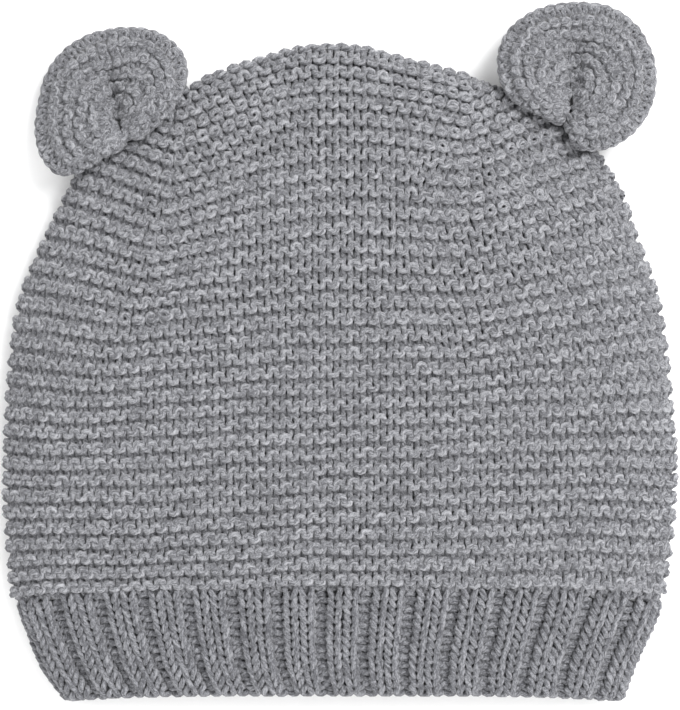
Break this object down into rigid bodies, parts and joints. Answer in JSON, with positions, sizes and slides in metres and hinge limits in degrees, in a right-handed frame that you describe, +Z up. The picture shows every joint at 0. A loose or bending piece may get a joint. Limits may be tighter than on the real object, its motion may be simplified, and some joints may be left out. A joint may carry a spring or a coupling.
{
  "type": "knitted baby hat with ears",
  "caption": "Soft knitted baby hat in garter stitch with a ribbed brim and two round folded ears, lying on its back with its hollow open.",
  "frame": {"origin": "on the surface the hat lies on, under the middle of its bounding box", "axes": "+X across the hat towards its right ear as it is seen from above, +Y from the brim's hem to the crown's top, +Z up out of the front face"},
  "size_m": [0.1956, 0.2036, 0.0275],
  "materials": {
    "knit": "grey marl wool yarn in garter stitch",
    "rib": "grey marl wool yarn in two-by-one rib"
  },
  "bodies": {
    "root": {"crown": "knit", "rib_brim": "rib", "ear_left": "knit", "ear_right": "knit"}
  },
  "joints": []
}
